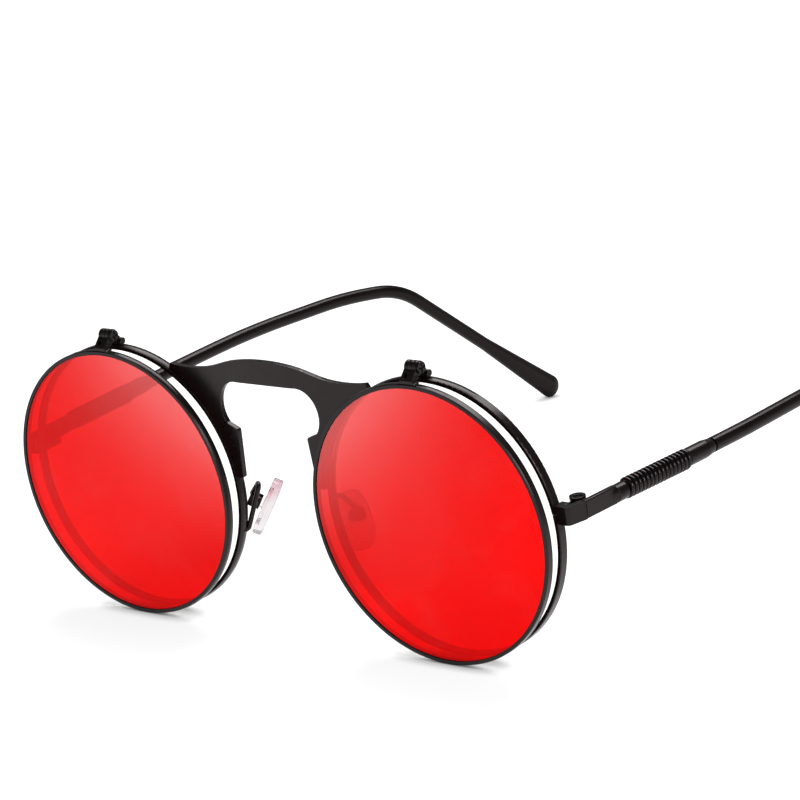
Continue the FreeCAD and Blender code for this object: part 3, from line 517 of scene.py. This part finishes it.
def crowned_pad(node):
    """Soft moulded pad: an oval with full sides, a flat back and a crowned face towards the nose."""
    corners = corners_of(node)
    middle = corners.mean(axis=0)
    _, axes = numpy.linalg.eigh(numpy.cov((corners - middle).T))
    out, across, along = axes.T
    if out[0] * middle[0] > 0:
        out = -out
    if numpy.dot(numpy.cross(across, along), out) < 0:
        across = -across
    spans = [(corners @ axis).min() for axis in (across, along, out)]
    sizes = [(corners @ axis).max() - low for axis, low in zip((across, along, out), spans)]
    back = (across * (spans[0] + sizes[0] / 2) + along * (spans[1] + sizes[1] / 2) + out * spans[2])
    skin = bmesh.new()
    rings = []
    for station in range(1, pad_stations):
        turn = math.pi * station / pad_stations
        reach = math.sin(turn) ** (2 / pad_fullness)
        lift = math.copysign(abs(math.cos(turn)) ** (2 / pad_fullness), -math.cos(turn))
        height = pad_waist * (1 + lift) if lift < 0 else pad_waist + (1 - pad_waist) * lift
        ring = []
        for step in range(pad_steps):
            angle = 2 * math.pi * step / pad_steps
            side = math.copysign(abs(math.cos(angle)) ** (2 / pad_outline), math.cos(angle))
            rise = math.copysign(abs(math.sin(angle)) ** (2 / pad_outline), math.sin(angle))
            narrowing = 1 - pad_taper * (1 + rise) / 2
            place = (back + across * (side * narrowing * reach * sizes[0] / 2)
                     + along * (rise * reach * sizes[1] / 2) + out * (height * sizes[2]))
            ring.append(skin.verts.new(place))
        rings.append(ring)
    close_rings(skin, rings)
    for ring, height in ((rings[0], 0), (rings[-1], sizes[2])):
        pole = skin.verts.new(back + out * height)
        for step in range(pad_steps):
            skin.faces.new((ring[step], ring[(step + 1) % pad_steps], pole))
    bmesh.ops.recalc_face_normals(skin, faces=skin.faces)
    return smooth_piece(skin, node)


special_finish = {
    "temple_spring": "spring_wire",
    "rim_screw": "screw_steel",
    "hinge_screw": "screw_steel",
    "pad_screw": "screw_steel",
    "flip_screw": "screw_steel",
    "flip_lens": "red_mirror",
    "clear_lens": "clear_glass",
    "nose_pad": "clear_silicone",
    "pad_insert": "pad_core",
    "temple_tip": "black_plastic",
}
makers = {"nose_pad": crowned_pad, "temple_spring": coil_spring}
body_of = {node: body for body, nodes in frame["record"]["behaviour"]["bodies"].items() for node in nodes}
for node in sorted(frame["nodes"]):
    finish = special_finish.get(stem_of(node), "black_metal")
    piece = makers.get(stem_of(node), smooth_copy)(node)
    piece.data.materials.clear()
    piece.data.materials.append(finishes[finish])
    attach(piece, body_of[node])
    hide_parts(node)


# Table, light and camera

def white_surround(tree, dim, bright):
    """Shader choice: bright for what the camera, mirrors and glass see, dim for the light on the object."""
    path = add_node(tree, "ShaderNodeLightPath")
    seen = math_node(tree, "MAXIMUM", path.outputs["Is Camera Ray"], path.outputs["Is Glossy Ray"])
    seen = math_node(tree, "MAXIMUM", seen, path.outputs["Is Transmission Ray"])
    choice = add_node(tree, "ShaderNodeMixShader")
    tree.links.new(seen, choice.inputs["Fac"])
    tree.links.new(dim, choice.inputs[1])
    tree.links.new(bright, choice.inputs[2])
    return choice.outputs["Shader"]


def table():
    """White table that keeps the soft shadows."""
    shape = bmesh.new()
    bmesh.ops.create_grid(shape, x_segments=1, y_segments=1, size=table_half)
    mesh = bpy.data.meshes.new("table")
    shape.to_mesh(mesh)
    shape.free()
    piece = bpy.data.objects.new("table", mesh)
    bpy.context.scene.collection.objects.link(piece)
    material, tree, output = new_material("white_table")
    matt = add_node(tree, "ShaderNodeBsdfDiffuse", inputs={"Color": (*table_white, 1.0)})
    shadow = add_node(tree, "ShaderNodeBsdfDiffuse")
    glow = add_node(tree, "ShaderNodeEmission")
    place = add_node(tree, "ShaderNodeTexCoord")
    away = add_node(tree, "ShaderNodeVectorMath", operation="LENGTH")
    tree.links.new(place.outputs["Object"], away.inputs[0])
    fade = add_node(tree, "ShaderNodeMapRange",
                    inputs={"From Min": 0.25, "From Max": 0.9, "To Min": 0.72, "To Max": 0.98})
    tree.links.new(away.outputs["Value"], fade.inputs["Value"])
    facing = add_node(tree, "ShaderNodeGroup", node_tree=front_light)
    tree.links.new(place.outputs["Object"], facing.inputs["Place"])
    path = add_node(tree, "ShaderNodeLightPath")
    level = add_node(tree, "ShaderNodeMix", inputs={"A": 1.0})
    tree.links.new(path.outputs["Is Reflection Ray"], level.inputs["Factor"])
    tree.links.new(facing.outputs["Strength"], level.inputs["B"])
    glow_level = math_node(tree, "MULTIPLY", fade.outputs["Result"], level.outputs["Result"])
    # painted shadow: the table's glow darkens where the object comes within contact_reach of it
    contact = add_node(tree, "ShaderNodeAmbientOcclusion", samples=4, inputs={"Distance": contact_reach})
    open_share = math_node(tree, "POWER", contact.outputs["AO"], contact_depth)
    tree.links.new(math_node(tree, "MULTIPLY", glow_level, open_share), glow.inputs["Strength"])
    tree.links.new(mix_node(tree, open_share, (0, 0, 0), table_shadow), shadow.inputs["Color"])
    white = add_node(tree, "ShaderNodeAddShader")
    tree.links.new(shadow.outputs["BSDF"], white.inputs[0])
    tree.links.new(glow.outputs["Emission"], white.inputs[1])
    shown = white_surround(tree, matt.outputs["BSDF"], white.outputs["Shader"])
    tree.links.new(shown, output.inputs["Surface"])
    mesh.materials.append(material)


def surround():
    """White room that is full white where it is seen, and dark overhead in reflections."""
    world = bpy.data.worlds.new("white room")
    bpy.context.scene.world = world
    world.use_nodes = True
    tree = world.node_tree
    tree.nodes.clear()
    output = add_node(tree, "ShaderNodeOutputWorld")
    dim = add_node(tree, "ShaderNodeBackground", inputs={"Strength": room_dim})
    bright = add_node(tree, "ShaderNodeBackground", inputs={"Strength": room_bright})
    reflected = add_node(tree, "ShaderNodeBackground")
    place = add_node(tree, "ShaderNodeTexCoord")
    axes = add_node(tree, "ShaderNodeSeparateXYZ")
    tree.links.new(place.outputs["Generated"], axes.inputs["Vector"])
    fade = add_node(tree, "ShaderNodeMapRange", interpolation_type="SMOOTHSTEP",
                    inputs={"From Min": 0.10, "From Max": 0.55, "To Min": 0.95, "To Max": 0.10})
    tree.links.new(axes.outputs["Z"], fade.inputs["Value"])
    facing = add_node(tree, "ShaderNodeGroup", node_tree=front_light)
    tree.links.new(place.outputs["Generated"], facing.inputs["Place"])
    level = math_node(tree, "MULTIPLY", fade.outputs["Result"], facing.outputs["Strength"])
    tree.links.new(level, reflected.inputs["Strength"])
    path = add_node(tree, "ShaderNodeLightPath")
    choice = add_node(tree, "ShaderNodeMixShader")
    tree.links.new(path.outputs["Is Reflection Ray"], choice.inputs["Fac"])
    tree.links.new(bright.outputs["Background"], choice.inputs[1])
    tree.links.new(reflected.outputs["Background"], choice.inputs[2])
    shown = white_surround(tree, dim.outputs["Background"], choice.outputs["Shader"])
    tree.links.new(shown, output.inputs["Surface"])


def softbox(name, place, aim, width, height, power):
    """Rectangular studio light that faces a point."""
    lamp = bpy.data.lights.new(name, "AREA")
    lamp.shape = "RECTANGLE"
    lamp.size = width
    lamp.size_y = height
    lamp.energy = power
    holder = bpy.data.objects.new(name, lamp)
    bpy.context.scene.collection.objects.link(holder)
    holder.location = place
    holder.rotation_euler = (Vector(aim) - Vector(place)).to_track_quat("-Z", "Y").to_euler()


def photo_camera():
    """Camera that sees the object as the photograph does."""
    azimuth = math.radians(view_azimuth)
    elevation = math.radians(view_elevation)
    back = Vector((math.sin(azimuth) * math.cos(elevation), -math.cos(azimuth) * math.cos(elevation),
                   math.sin(elevation)))
    level = Vector((math.cos(azimuth), math.sin(azimuth), 0))
    upright = back.cross(level)
    turn = Matrix.Rotation(-math.radians(view_roll), 3, back)
    right = turn @ level
    up = turn @ upright
    lens = bpy.data.cameras.new("photo camera")
    lens.lens = camera_lens
    lens.sensor_width = sensor_width
    lens.clip_start = 10 * mm
    holder = bpy.data.objects.new("photo camera", lens)
    bpy.context.scene.collection.objects.link(holder)
    axes = Matrix((right, up, back)).transposed().to_4x4()
    holder.matrix_world = Matrix.Translation(view_centre + back * view_distance) @ axes
    bpy.context.scene.camera = holder


table()
surround()
softbox("overhead softbox", place=(-0.18, 0.40, 0.85), aim=(0.0, -0.02, 0.02),
        width=0.8, height=0.5, power=10.0)
softbox("side softbox", place=(0.80, -0.22, 0.45), aim=(0.0, -0.05, 0.03),
        width=0.5, height=0.4, power=6.0)
photo_camera()
bpy.context.scene.view_settings.view_transform = "Standard"
